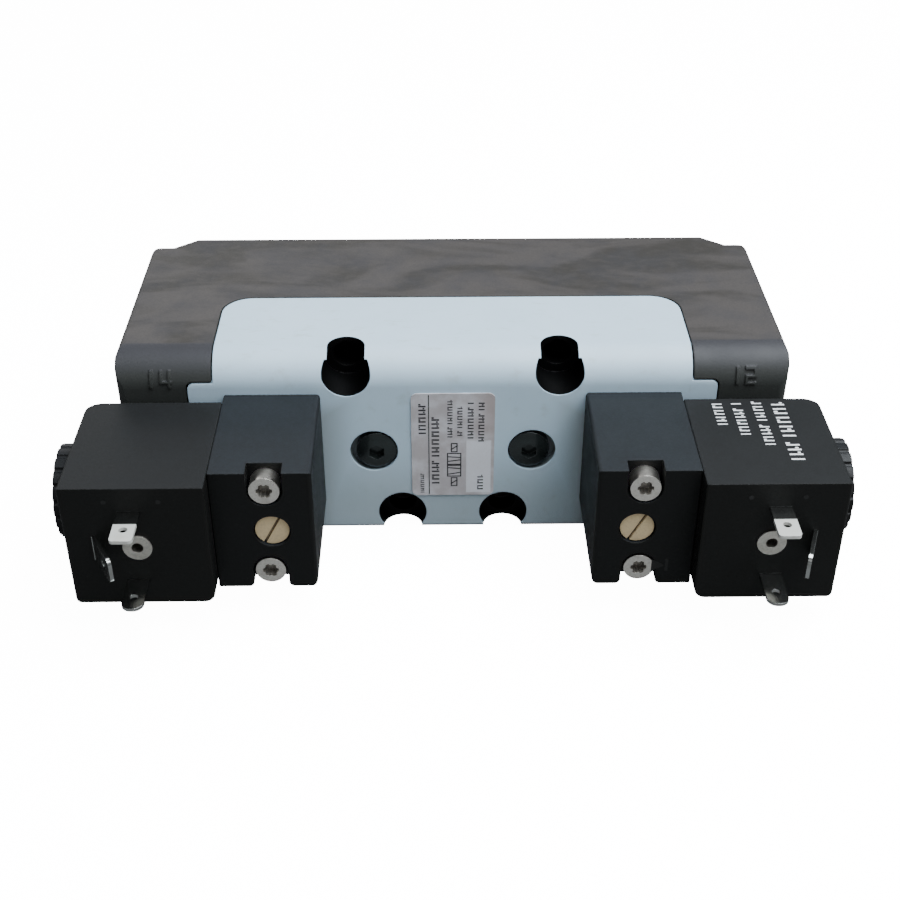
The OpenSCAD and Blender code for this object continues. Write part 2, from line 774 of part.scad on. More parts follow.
module coil_nut() {
    ribs = 18;
    start = coil_end + 0.1;
    color([0.08, 0.08, 0.08]) difference() {
        rod_x([start, axis_y, axis_z], nut_d / 2, nut_len);
        rod_x([start - over, axis_y, axis_z], 5.06, nut_len + 2 * over);
        rod_x([start - over, axis_y, axis_z], 8, 1.2 + over);
        for (k = [0:ribs - 1]) translate([0, axis_y, axis_z]) rotate([360 * k / ribs, 0, 0])
            rod_x([start - over, nut_d / 2 + 0.3, 0], 0.75, nut_len + 2 * over);
    }
}

module nut_ring() {
    color([0.05, 0.05, 0.05]) o_ring_x([coil_end + 0.75, axis_y, axis_z], 7.35, 0.55);
}

main_body();
pilot_housing();
housing_gasket();
cover_screws();
rating_label();
interface_gasket();
sleeve();
sleeve_rings();
spool();
spool_rings();
piston(-1);  // left_piston
piston(1);  // right_piston
piston_ring(-1);  // left_piston_ring
piston_ring(1);  // right_piston_ring
on_left() end_plug();  // left_end_plug
end_plug();  // right_end_plug
on_left() end_ring();  // left_end_ring
end_ring();  // right_end_ring
end_clips();
on_left() pilot_block();  // left_pilot_block
pilot_block();  // right_pilot_block
on_left() pilot_gasket();  // left_pilot_gasket
pilot_gasket();  // right_pilot_gasket
on_left() pilot_screws();  // left_pilot_screws
pilot_screws();  // right_pilot_screws
override(-override_x);  // left_override
override(override_x);  // right_override
override_ring(-override_x);  // left_override_ring
override_ring(override_x);  // right_override_ring
on_left() nozzle();  // left_nozzle
nozzle();  // right_nozzle
on_left() plunger();  // left_plunger
plunger();  // right_plunger
on_left() plunger_seat();  // left_plunger_seat
plunger_seat();  // right_plunger_seat
on_left() plunger_spring();  // left_plunger_spring
plunger_spring();  // right_plunger_spring
on_left() core_tube();  // left_core_tube
core_tube();  // right_core_tube
on_left() tube_ring();  // left_tube_ring
tube_ring();  // right_tube_ring
on_left() coil();  // left_coil
coil();  // right_coil
on_left() yoke();  // left_yoke
yoke();  // right_yoke
on_left() bobbin();  // left_bobbin
bobbin();  // right_bobbin
on_left() winding();  // left_winding
winding();  // right_winding
on_left() blades(left_bend);  // left_blades
blades(right_bend);  // right_blades
on_left() plug_insert();  // left_plug_insert
plug_insert();  // right_plug_insert
on_left() coil_nut();  // left_coil_nut
coil_nut();  // right_coil_nut
on_left() nut_ring();  // left_nut_ring
nut_ring();  // right_nut_ring
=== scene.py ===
"""Finishes, printing, studio and camera for a plate-mounted solenoid directional valve."""

import json
import logging
import math
from dataclasses import dataclass, field
from enum import Enum
from functools import reduce
from operator import or_
from typing import Any, ClassVar, Dict, List, Tuple, Union

import bmesh
import bpy
from mathutils import Matrix, Vector


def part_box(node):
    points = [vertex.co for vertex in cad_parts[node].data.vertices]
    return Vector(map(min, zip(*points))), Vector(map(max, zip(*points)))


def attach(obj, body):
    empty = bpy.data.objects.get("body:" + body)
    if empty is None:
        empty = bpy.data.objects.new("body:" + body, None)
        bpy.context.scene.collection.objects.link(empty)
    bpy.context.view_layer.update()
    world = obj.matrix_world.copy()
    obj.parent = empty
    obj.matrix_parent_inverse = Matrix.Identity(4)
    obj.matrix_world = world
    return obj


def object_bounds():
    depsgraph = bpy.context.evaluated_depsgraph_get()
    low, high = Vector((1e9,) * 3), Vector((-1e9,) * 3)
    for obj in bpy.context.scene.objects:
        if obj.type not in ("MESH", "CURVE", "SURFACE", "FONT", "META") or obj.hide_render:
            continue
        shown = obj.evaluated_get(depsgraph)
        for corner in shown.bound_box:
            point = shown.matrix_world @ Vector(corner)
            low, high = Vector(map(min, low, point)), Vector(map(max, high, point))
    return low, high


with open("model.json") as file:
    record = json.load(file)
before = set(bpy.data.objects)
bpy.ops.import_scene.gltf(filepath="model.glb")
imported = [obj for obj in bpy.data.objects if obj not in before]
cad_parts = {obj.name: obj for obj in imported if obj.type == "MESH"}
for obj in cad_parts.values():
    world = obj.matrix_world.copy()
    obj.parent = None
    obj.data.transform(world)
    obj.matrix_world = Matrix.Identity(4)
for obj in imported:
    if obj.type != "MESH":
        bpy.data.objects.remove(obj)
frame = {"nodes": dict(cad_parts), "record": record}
cad_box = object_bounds()

log = logging.getLogger("valve")
logging.basicConfig(level=logging.INFO, format="%(message)s")

MM = 0.001
# Cosine of the angle between the rounded and the plain normal where an edge starts and is full
EDGE_STARTS, EDGE_FULL = 0.985, 0.80
Colour = Tuple[float, float, float]
Operand = Union["Field", float]


# ---- Shader graph ----


class Field:
    """A value that varies over a surface: one output socket, with arithmetic."""

    def __init__(self, graph: "Graph", socket: bpy.types.NodeSocket) -> None:
        """Wraps a socket.

        Args:
            graph: The graph that the socket's node is in.
            socket: The output socket.
        """
        self.graph = graph
        self.socket = socket

    def __add__(self, other: Operand) -> "Field":
        """Adds a field or a number."""
        return self.graph.maths("ADD", self, other)

    def __radd__(self, other: Operand) -> "Field":
        """Adds to a number."""
        return self.graph.maths("ADD", other, self)

    def __sub__(self, other: Operand) -> "Field":
        """Subtracts a field or a number."""
        return self.graph.maths("SUBTRACT", self, other)

    def __rsub__(self, other: Operand) -> "Field":
        """Subtracts from a number."""
        return self.graph.maths("SUBTRACT", other, self)

    def __mul__(self, other: Operand) -> "Field":
        """Multiplies by a field or a number."""
        return self.graph.maths("MULTIPLY", self, other)

    def __rmul__(self, other: Operand) -> "Field":
        """Multiplies a number."""
        return self.graph.maths("MULTIPLY", other, self)

    def __abs__(self) -> "Field":
        """The size without its sign."""
        return self.graph.maths("ABSOLUTE", self)

    def __or__(self, other: Operand) -> "Field":
        """The larger of two masks."""
        return self.graph.maths("MAXIMUM", self, other)

    def __and__(self, other: Operand) -> "Field":
        """The smaller of two masks."""
        return self.graph.maths("MINIMUM", self, other)

    def rise(self, low: float, high: float) -> "Field":
        """Goes smoothly from 0 at low to 1 at high.

        Args:
            low: The value that gives 0.
            high: The value that gives 1. It may be less than low.

        Returns:
            The mask.
        """
        node = self.graph.node(
            "ShaderNodeMapRange", {"interpolation_type": "SMOOTHSTEP"},
            {"Value": self, "From Min": low, "From Max": high},
        )
        return Field(self.graph, node.outputs["Result"])

    def within(self, low: float, high: float, soft: float) -> "Field":
        """A mask that is 1 between two values.

        Args:
            low: Lower edge.
            high: Upper edge.
            soft: Width over which each edge fades.

        Returns:
            The mask.
        """
        return self.rise(low - soft, low) & self.rise(high + soft, high)


@dataclass
class Place:
    """Where a point of a surface is, in millimetres of the valve's own frame.

    Attributes:
        x: Its X.
        y: Its Y.
        z: Its Z.
        up: The Z of the surface's normal, 1 where it faces straight up.
        vector: All three coordinates as one vector.
    """

    x: Field
    y: Field
    z: Field
    up: Field
    vector: Field

    def distance_xz(self, x: float, z: float) -> Field:
        """Distance from an axis that runs along Y.

        Args:
            x: The axis's X, in millimetres.
            z: The axis's Z, in millimetres.

        Returns:
            The distance, in millimetres.
        """
        dx = self.x - x
        dz = self.z - z
        return self.x.graph.maths("SQRT", dx * dx + dz * dz)

    def distance_xy(self, x: float, y: float) -> Field:
        """Distance from an axis that runs along Z.

        Args:
            x: The axis's X, in millimetres.
            y: The axis's Y, in millimetres.

        Returns:
            The distance, in millimetres.
        """
        dx = self.x - x
        dy = self.y - y
        return self.x.graph.maths("SQRT", dx * dx + dy * dy)


class Graph:
    """The node tree of one material, round one Principled shader."""

    def __init__(self, name: str) -> None:
        """Starts a material.

        Args:
            name: The material's name.
        """
        self.material = bpy.data.materials.new(name)
        self.material.use_nodes = True
        self.tree = self.material.node_tree
        self.tree.nodes.clear()
        self.shader = self.tree.nodes.new("ShaderNodeBsdfPrincipled")
        output = self.tree.nodes.new("ShaderNodeOutputMaterial")
        self.tree.links.new(self.shader.outputs["BSDF"], output.inputs["Surface"])

    def node(self, kind: str, settings: Dict[str, Any],
             sockets: Dict[Any, Any]) -> bpy.types.Node:
        """Adds a node.

        Args:
            kind: The node's type.
            settings: Its properties, which are set first.
            sockets: Values or fields for its input sockets, by name or number.

        Returns:
            The node.
        """
        made = self.tree.nodes.new(kind)
        for key, value in settings.items():
            setattr(made, key, value)
        for key, value in sockets.items():
            self.plug(made.inputs[key], value)
        return made

    def plug(self, socket: bpy.types.NodeSocket, value: Any) -> None:
        """Links a field to an input socket, or sets the socket's own value.

        Args:
            socket: The input socket.
            value: A field, a number, or a colour.
        """
        if isinstance(value, Field):
            self.tree.links.new(value.socket, socket)
        elif socket.type == "RGBA" and len(value) == 3:
            socket.default_value = (*value, 1.0)
        else:
            socket.default_value = value

    def maths(self, operation: str, *values: Operand) -> Field:
        """Adds a Math node on one or two values.

        Args:
            operation: The node's operation.
            *values: Fields or numbers.

        Returns:
            The result.
        """
        made = self.node("ShaderNodeMath", {"operation": operation}, dict(enumerate(values)))
        return Field(self, made.outputs[0])

    def mix(self, factor: Operand, first: Any, second: Any) -> Field:
        """Blends two colours.

        Args:
            factor: 0 for the first colour and 1 for the second.
            first: A colour or a field.
            second: A colour or a field.

        Returns:
            The blended colour.
        """
        made = self.node(
            "ShaderNodeMix", {"data_type": "RGBA"}, {"Factor": factor, 6: first, 7: second}
        )
        return Field(self, made.outputs[2])

    def place(self) -> Place:
        """Reads the surface point and its normal in the frame's axes.

        Returns:
            The surface point.
        """
        where = self.node("ShaderNodeTexCoord", {}, {})
        scaled = self.node(
            "ShaderNodeVectorMath", {"operation": "SCALE"},
            {0: Field(self, where.outputs["Object"]), "Scale": 1.0 / MM},
        )
        vector = Field(self, scaled.outputs[0])
        axes = self.node("ShaderNodeSeparateXYZ", {}, {0: vector})
        facing = self.node("ShaderNodeSeparateXYZ", {}, {0: Field(self, where.outputs["Normal"])})
        x, y, z = (Field(self, axes.outputs[k]) for k in range(3))
        return Place(x, y, z, Field(self, facing.outputs[2]), vector)

    def noise(self, at: Place, size: float, detail: float = 3.0, rough: float = 0.55,
              stretch: Vector = Vector((1, 1, 1)), warp: float = 0.0) -> Field:
        """Cloudy noise between 0 and 1.

        Args:
            at: The surface point.
            size: Size of a patch, in millimetres.
            detail: Number of finer layers.
            rough: Strength of the finer layers.
            stretch: Divides the patch's size along each axis.
            warp: How much the patches are drawn out of shape.

        Returns:
            The noise.
        """
        spread = self.node(
            "ShaderNodeVectorMath", {"operation": "MULTIPLY"}, {0: at.vector, 1: stretch / size}
        )
        made = self.node(
            "ShaderNodeTexNoise", {},
            {"Vector": Field(self, spread.outputs[0]), "Scale": 1.0, "Detail": detail,
             "Roughness": rough, "Distortion": warp},
        )
        return Field(self, made.outputs[0])

    def edge(self, radius: float) -> Tuple[Field, Field]:
        """Finds sharp edges.

        Args:
            radius: Reach of the edge, in millimetres.

        Returns:
            The normal with its edges rounded, and a mask that is 1 on the edges.
        """
        rounded = self.node("ShaderNodeBevel", {"samples": 4}, {"Radius": radius * MM})
        plain = self.node("ShaderNodeNewGeometry", {}, {})
        normal = Field(self, rounded.outputs[0])
        agree = self.node(
            "ShaderNodeVectorMath", {"operation": "DOT_PRODUCT"},
            {0: normal, 1: Field(self, plain.outputs["Normal"])},
        )
        return normal, Field(self, agree.outputs["Value"]).rise(EDGE_STARTS, EDGE_FULL)

    def bump(self, height: Field, depth: float, normal: Any = None) -> Field:
        """Relief from a height.

        Args:
            height: The height, between 0 and 1.
            depth: Full depth of the relief, in millimetres.
            normal: The normal that it starts from, if not the surface's own.

        Returns:
            The normal.
        """
        sockets: Dict[str, Any] = {"Height": height, "Distance": depth * MM, "Strength": 1.0}
        if normal is not None:
            sockets["Normal"] = normal
        return Field(self, self.node("ShaderNodeBump", {}, sockets).outputs[0])

    def paint(self, **sockets: Any) -> None:
        """Sets the shader's sockets, named with underscores for their spaces."""
        for key, value in sockets.items():
            self.plug(self.shader.inputs[key.replace("_", " ")], value)


# ---- Sizes that the finishes and the printing share ----


def low(node: str) -> Vector:
    """Lowest corner of a CAD node, in millimetres."""
    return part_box(node)[0] / MM


def high(node: str) -> Vector:
    """Highest corner of a CAD node, in millimetres."""
    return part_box(node)[1] / MM


def middle(node: str) -> Vector:
    """Centre of a CAD node's box, in millimetres."""
    return (low(node) + high(node)) / 2


def front_face(node: str) -> Matrix:
    """The plane of a CAD node's front, from its lower left corner."""
    return Matrix.Translation(low(node)) @ Matrix.Rotation(math.pi / 2, 4, "X")


def opening_centres() -> List[Vector]:
    """Centres of the mounting screws' pockets, from the record, in millimetres."""
    boxes = [o["box_m"] for o in frame["record"]["physics"]["openings"]]
    return [(Vector(lowest) + Vector(highest)) / 2 / MM for lowest, highest in boxes]


# ---- Finishes ----


@dataclass(frozen=True)
class Finish:
    """A surface finish. Each kind of finish dresses its own graph."""

    name: str
    colour: Colour
    roughness: float = 0.5

    def material(self) -> bpy.types.Material:
        """Makes the finish's material.

        Returns:
            The material.
        """
        graph = Graph(self.name)
        self.dress(graph, graph.place())
        return graph.material

    def dress(self, graph: Graph, at: Place) -> None:
        """Adds the finish's nodes.

        Args:
            graph: The material's graph.
            at: The surface point.
        """
        raise NotImplementedError


@dataclass(frozen=True)
class StainedCasting(Finish):
    """Dark coated casting: a lighter, stained top, a cooler brow, and worn edges and numbers."""

    roughness: float = 0.45
    top: Colour = (0.053, 0.047, 0.0445)
    stain: Colour = (0.028, 0.025, 0.022)
    brow: Colour = (0.027, 0.027, 0.033)
    speckle: Colour = (0.02, 0.02, 0.02)
    bare: Colour = (0.22, 0.22, 0.21)
    brow_depth: float = 7.4
    # Where the raised port numbers are, in millimetres
    number_z: Tuple[float, float] = (38.6, 44.8)
    number_x: Tuple[float, float] = (62.8, 70.4)

    def dress(self, graph: Graph, at: Place) -> None:
        """Adds the finish's nodes.

        Args:
            graph: The material's graph.
            at: The surface point.
        """
        front = low("pilot_housing").y
        waves = graph.noise(at, 22, 4, 0.5, Vector((0.5, 1.5, 1)), 0.8)
        cloud = graph.noise(at, 9, 4)
        grain = graph.noise(at, 0.32, 2)
        mottle = graph.noise(at, 2.4, 4, 0.65, Vector((0.7, 1.2, 1)))
        top = graph.mix(waves.rise(0.42, 0.58), self.top, self.stain)
        top = graph.mix(cloud.rise(0.35, 0.75) * 0.5, top, self.brow)
        top = graph.mix(mottle.rise(0.42, 0.68) * 0.35, top, self.top)
        brow_band = at.y.within(front - 1, front + self.brow_depth, 1.2) & at.up.rise(0.2, 0.6)
        top = graph.mix(brow_band * 0.9, top, self.brow)
        # Upward faces take the lighter, stained top colour
        body = graph.mix(at.up.rise(0.25, 0.95), self.colour, top)
        body = graph.mix(grain.rise(0.35, 0.75) * 0.3, body, self.speckle)
        normal, edge = graph.edge(0.45)
        speck = graph.noise(at, 0.75, 3, 0.7)
        worn = edge * speck.rise(0.60, 0.72)
        numbers = at.z.within(*self.number_z, 0.2) & abs(at.x).within(*self.number_x, 0.2)
        worn = (worn * (1.0 - numbers)) | (edge * numbers * speck.rise(0.58, 0.70) * 0.8)
        body = graph.mix(worn * 0.7, body, self.bare)
        graph.paint(
            Base_Color=body, Roughness=self.roughness + 0.2 * cloud, Specular_IOR_Level=0.3,
            Normal=graph.bump(grain, 0.03, normal),
        )


@dataclass(frozen=True)
class Pocket:
    """A keyhole-shaped screw pocket, in millimetres.

    Attributes:
        radius: Radius of its round part.
        slot: Width of its slot.
        depth: Its depth behind the housing's front.
        reach: How far the round part of an upper pocket goes above its centre.
    """

    radius: float
    slot: float
    depth: float
    reach: float = 0.0


@dataclass(frozen=True)
class HousingPaint(Finish):
    """Light blue-grey paint, with painted shade in its screw pockets, round its cover screws and
    low on its front, and painted shadow beside the blocks.
    """

    roughness: float = 0.40
    cloudy: Colour = (0.43, 0.57, 0.68)
    smeared: Colour = (0.34, 0.40, 0.42)
    chipped: Colour = (0.12, 0.12, 0.12)
    # Painted shade: colours for the screw pockets, the cover screws' seats, and the front beside
    # the blocks and low down
    dark: Colour = (0.0022, 0.0022, 0.0026)
    seat_shade: Colour = (0.055, 0.056, 0.048)
    front_shade: Colour = (0.27, 0.31, 0.32)
    upper: Pocket = Pocket(5.5, 8.5, 10.4, 2.6)
    lower: Pocket = Pocket(5.75, 9.2, 5.3)
    screw_hole: float = 3.4

    def pocket_mask(self, at: Place, centre: Vector, front: float) -> Field:
        """A mask of the walls of one screw pocket and of its hole, which take painted shade.

        Args:
            at: The surface point.
            centre: The middle of the pocket's opening, in millimetres.
            front: The housing's front, in millimetres.

        Returns:
            The mask.
        """
        upper = centre.z > high("pilot_housing").z / 2
        pocket = self.upper if upper else self.lower
        half = pocket.slot / 2
        floor = front + pocket.depth
        end = floor - half
        apart = at.distance_xz(centre.x, centre.z)
        behind = at.y.rise(front + 0.1, front + 0.35)
        sunk = behind & at.y.rise(floor + 0.15, floor)
        round_part = apart.rise(pocket.radius + 0.15, pocket.radius + 0.02) & sunk
        slot = abs(at.x - centre.x).rise(half + 0.12, half + 0.02) & behind
        round_end = at.distance_xy(centre.x, end).rise(half + 0.12, half + 0.02)
        slot = slot & (at.y.rise(end + 0.02, end) | round_end)
        if upper:
            ceiling = centre.z + pocket.reach
            round_part = round_part & at.z.rise(ceiling + 0.1, ceiling)
            slot = slot & at.z.rise(centre.z, centre.z + 0.3)
        else:
            slot = slot & at.z.rise(centre.z + 0.3, centre.z)
        return round_part | slot | apart.rise(self.screw_hole + 0.1, self.screw_hole)

    def add_painted_shade(self, graph: Graph, at: Place, paint: Field, front: float) -> Field:
        """Adds painted shade round the cover screws' seats, painted shadow beside the blocks, and
        painted shade low on the front.

        Args:
            graph: The material's graph.
            at: The surface point.
            paint: The clean paint.
            front: The housing's front, in millimetres.

        Returns:
            The paint with its painted shade and shadow.
        """
        first, last = low("cover_screws"), high("cover_screws")
        seat_z = (first.z + last.z) / 2
        head = (last.z - first.z) / 2
        for seat_x in (first.x + head, last.x - head):
            # Painted shade on the recess walls round each cover screw
            seat = at.distance_xz(seat_x, seat_z).rise(head + 2.2, head + 1.7)
            paint = graph.mix((seat & at.y.rise(front, front + 0.8)) * 0.85, paint, self.seat_shade)
        # Painted shadow of the blocks beside them, and painted shade that darkens the front
        # towards the bottom
        block_x = low("right_pilot_block").x
        beside = abs(at.x).rise(block_x - 9, block_x + 1) & at.z.rise(38, 31)
        lower = at.z.rise(26, 6) & (1.0 - at.up.rise(0.1, 0.4))
        front_shade = (lower * 0.6 | beside * 0.75) & at.y.rise(front + 2, front + 1)
        return graph.mix(front_shade, paint, self.front_shade)

    def dress(self, graph: Graph, at: Place) -> None:
        """Adds the finish's nodes.

        Args:
            graph: The material's graph.
            at: The surface point.
        """
        front = low("pilot_housing").y
        cloud = graph.noise(at, 16, 4)
        grain = graph.noise(at, 0.28, 2)
        smear = graph.noise(at, 5, 3, 0.6, Vector((1, 2.4, 1)))
        paint = graph.mix(cloud.rise(0.3, 0.75) * 0.5, self.colour, self.cloudy)
        paint = graph.mix(smear.rise(0.56, 0.78) * 0.35, paint, self.smeared)
        pockets = [self.pocket_mask(at, centre, front) for centre in opening_centres()]
        inside = reduce(or_, pockets)
        paint = self.add_painted_shade(graph, at, paint, front)
        # Painted shade: the pocket walls and holes go near black
        paint = graph.mix(inside, paint, self.dark)
        normal, edge = graph.edge(0.35)
        chips = edge * graph.noise(at, 0.9, 3, 0.7).rise(0.66, 0.74)
        paint = graph.mix(chips * 0.6, paint, self.chipped)
        graph.paint(
            Base_Color=paint, Roughness=self.roughness + 0.16 * cloud, Metallic=inside * 0.7,
            Normal=graph.bump(grain, 0.02, normal),
        )


@dataclass(frozen=True)
class MouldedPlastic(Finish):
    """Black moulded plastic, with a fine grain, dust and painted sheen on top, and scuffed edges.
    """

    # Dust and painted sheen on upward faces: their colour and amount
    dust_and_sheen: Colour = (0.05, 0.055, 0.065)
    dust_and_sheen_amount: float = 0.5
    scuffed: Colour = (0.06, 0.065, 0.07)
    grain: float = 0.25

    def dress(self, graph: Graph, at: Place) -> None:
        """Adds the finish's nodes.

        Args:
            graph: The material's graph.
            at: The surface point.
        """
        cloud = graph.noise(at, 7, 4)
        grain = graph.noise(at, self.grain, 2)
        fleck = graph.noise(at, 1.1, 3, 0.7)
        body = graph.mix(grain.rise(0.3, 0.8) * 0.10, self.colour, self.dust_and_sheen)
        specks = grain.rise(0.35, 0.65) * 0.35 + fleck.rise(0.4, 0.7) * 0.25
        # Upward faces lighten: dust, and painted sheen
        dust_and_sheen_mask = at.up.rise(0.5, 0.95) * (0.35 + 0.35 * cloud + 0.6 * specks) * self.dust_and_sheen_amount
        body = graph.mix(dust_and_sheen_mask, body, self.dust_and_sheen)
        normal, edge = graph.edge(0.3)
        scuff = edge * fleck.rise(0.52, 0.70)
        body = graph.mix(scuff * 0.5, body, self.scuffed)
        graph.paint(
            Base_Color=body, Roughness=self.roughness + 0.14 * cloud,
            Normal=graph.bump(grain, 0.02, normal), Specular_IOR_Level=0.22,
        )


@dataclass(frozen=True)
class PlainMetal(Finish):
    """Bare or plated metal with a faint tarnish and optional recesses along Y, darkened with dirt
    and painted shade.
    """

    tarnish: Colour = (0.35, 0.33, 0.30)
    metallic: float = 1.0
    lines: Vector = Vector((1, 1, 1))
    line_size: float = 0.5
    recess: Tuple[Tuple[float, float, float], ...] = ()
    recess_from: float = 0.0
    dirt_and_shade_amount: float = 0.7
    # Colour of the recesses: dirt and painted shade
    grime: Colour = (0.03, 0.028, 0.025)

    def dress(self, graph: Graph, at: Place) -> None:
        """Adds the finish's nodes.

        Args:
            graph: The material's graph.
            at: The surface point.
        """
        cloud = graph.noise(at, 3.2, 4, 0.6)
        lines = graph.noise(at, self.line_size, 2, 0.5, self.lines)
        body = graph.mix(cloud.rise(0.45, 0.8) * 0.5, self.colour, self.tarnish)
        body = graph.mix(lines.rise(0.4, 0.7) * 0.25, body, self.tarnish)
        # Dirt and painted shade darken the recesses
        dirt_and_shade = None
        for x, z, radius in self.recess:
            sunk = at.distance_xz(x, z).rise(radius + 0.1, radius - 0.05)
            sunk = sunk & at.y.rise(self.recess_from, self.recess_from + 0.5)
            dirt_and_shade = sunk if dirt_and_shade is None else dirt_and_shade | sunk
        roughness = self.roughness + 0.22 * cloud
        if dirt_and_shade is not None:
            body = graph.mix(dirt_and_shade * self.dirt_and_shade_amount, body, self.grime)
            roughness = roughness + dirt_and_shade * 0.3
        normal, _ = graph.edge(0.12)
        graph.paint(
            Base_Color=body, Metallic=self.metallic, Roughness=roughness,
            Normal=graph.bump(lines, 0.012, normal),
        )


@dataclass(frozen=True)
class BladeTin(Finish):
    """Bright tin that mirrors the coil behind it, with a matt tip on the upper blade."""

    tip_y: float = 0.0
    above_z: float = 0.0
    stain: Colour = (0.20, 0.19, 0.16)
    tip: Colour = (0.60, 0.60, 0.57)
    tip_stain: Colour = (0.40, 0.37, 0.31)

    def dress(self, graph: Graph, at: Place) -> None:
        """Adds the finish's nodes.

        Args:
            graph: The material's graph.
            at: The surface point.
        """
        cloud = graph.noise(at, 2.4, 4, 0.6)
        scratch = graph.noise(at, 0.5, 2, 0.5, Vector((1, 0.15, 1)))
        tip = at.y.rise(self.tip_y + 0.3, self.tip_y) & at.z.rise(self.above_z, self.above_z + 1)
        stained = cloud.rise(0.45, 0.75) * 0.55
        body = graph.mix(stained, self.colour, self.stain)
        body = graph.mix(tip, body, graph.mix(stained * 0.5, self.tip, self.tip_stain))
        graph.paint(
            Base_Color=body, Metallic=1.0 - 0.75 * tip,
            Roughness=self.roughness + 0.12 * cloud + 0.2 * tip,
            Normal=graph.bump(scratch, 0.01, graph.edge(0.12)[0]),
        )


@dataclass(frozen=True)
class Rubber(Finish):
    """Black rubber with a faint bloom."""

    bloom: Colour = (0.045, 0.045, 0.045)

    def dress(self, graph: Graph, at: Place) -> None:
        """Adds the finish's nodes.

        Args:
            graph: The material's graph.
            at: The surface point.
        """
        cloud = graph.noise(at, 4, 4)
        grain = graph.noise(at, 0.2, 2)
        body = graph.mix(cloud.rise(0.5, 0.8) * 0.5, self.colour, self.bloom)
        graph.paint(
            Base_Color=body, Roughness=self.roughness + 0.15 * cloud,
            Normal=graph.bump(grain, 0.02),
        )


@dataclass(frozen=True)
class GlossBlack(Finish):
    """Dark, slightly glossy metal, such as oiled black oxide, with a little grime and a painted
    highlight on its edges.
    """

    grime: Colour = (0.022, 0.022, 0.021)
    edge_highlight: Colour = (0.20, 0.22, 0.22)

    def dress(self, graph: Graph, at: Place) -> None:
        """Adds the finish's nodes.

        Args:
            graph: The material's graph.
            at: The surface point.
        """
        cloud = graph.noise(at, 1.6, 4, 0.65)
        body = graph.mix(cloud.rise(0.45, 0.8) * 0.5, self.colour, self.grime)
        normal, edge = graph.edge(0.25)
        # Painted highlight along the edges
        body = graph.mix(edge * cloud.rise(0.4, 0.6) * 0.7, body, self.edge_highlight)
        graph.paint(
            Base_Color=body, Metallic=0.7, Roughness=self.roughness + 0.14 * cloud,
            Coat_Weight=0.2, Normal=graph.bump(cloud, 0.03, normal),
        )


@dataclass(frozen=True)
class LabelFoil(Finish):
    """Printed foil: pinkish grey, a white data field, and soft wrinkles."""

    white: Colour = (0.76, 0.78, 0.84)
    pink: Colour = (0.36, 0.30, 0.29)
    # The white data field, in millimetres from the label's left and lower edges
    field_left: float = 13.0
    field_top: float = 15.5
    margin: float = 0.9

    def dress(self, graph: Graph, at: Place) -> None:
        """Adds the finish's nodes.

        Args:
            graph: The material's graph.
            at: The surface point.
        """
        left, right = low("rating_label").x, high("rating_label").x
        bottom, top = low("rating_label").z, high("rating_label").z
        cloud = graph.noise(at, 5, 4)
        fine = graph.noise(at, 0.5, 3)
        field_x = at.x.within(left + self.field_left, right - self.margin, 0.3)
        field_z = at.z.within(bottom + self.margin, bottom + self.field_top, 0.3)
        body = graph.mix(cloud.rise(0.4, 0.7) * 0.5, self.colour, self.white)
        body = graph.mix((field_x & field_z) * 0.8, body, self.white)
        aged = at.x.rise(right - 7, right) & at.z.rise(top - 14, top - 9)
        body = graph.mix(aged * (0.4 + 0.4 * cloud), body, self.pink)
        body = graph.mix(fine.rise(0.5, 0.8) * 0.15, body, self.pink)
        graph.paint(
            Base_Color=body, Roughness=self.roughness + 0.2 * cloud,
            Normal=graph.bump(cloud, 0.06),
        )


@dataclass(frozen=True)
class Ink(Finish):
    """Printing ink with small gaps in it."""

    backing: Colour = (0.5, 0.5, 0.5)
    gaps: float = 0.5

    def dress(self, graph: Graph, at: Place) -> None:
        """Adds the finish's nodes.

        Args:
            graph: The material's graph.
            at: The surface point.
        """
        fine = graph.noise(at, 0.35, 3, 0.7)
        body = graph.mix(fine.rise(0.55, 0.75) * self.gaps, self.colour, self.backing)
        graph.paint(Base_Color=body, Roughness=self.roughness + 0.1 * fine)


@dataclass(frozen=True)
class WoundCopper(Finish):
    """Enamelled wire wound about X, one turn beside the next."""

    roughness: float = 0.25
    groove: Colour = (0.20, 0.07, 0.03)
    dull: Colour = (0.55, 0.22, 0.10)
    pitch: float = 0.3

    def dress(self, graph: Graph, at: Place) -> None:
        """Adds the finish's nodes.

        Args:
            graph: The material's graph.
            at: The surface point.
        """
        turn = graph.maths("SINE", at.x * (2 * math.pi / self.pitch))
        height = 0.5 + 0.5 * turn
        cloud = graph.noise(at, 2, 3)
        body = graph.mix(height, self.groove, self.colour)
        body = graph.mix(cloud * 0.3, body, self.dull)
        graph.paint(
            Base_Color=body, Metallic=0.8, Roughness=self.roughness + 0.15 * cloud,
            Normal=graph.bump(height, 0.12),
        )


# ---- Sub-assemblies ----


class Side(Enum):
    """The valve's two ends, with the word that their nodes' names start with."""

    LEFT = "left"
    RIGHT = "right"

    def node(self, name: str) -> str:
        """The name of this side's CAD node."""
        return f"{self.value}_{name}"


def dress_node(node: str, material: bpy.types.Material) -> None:
    """Gives a CAD node its material.

    Args:
        node: The node's name.
        material: The material for all of its slots.
    """
    mesh_object = frame["nodes"][node]
    if not mesh_object.material_slots:
        mesh_object.data.materials.append(material)
    for slot in mesh_object.material_slots:
        slot.material = material
    log.info("%s: %s", node, material.name)


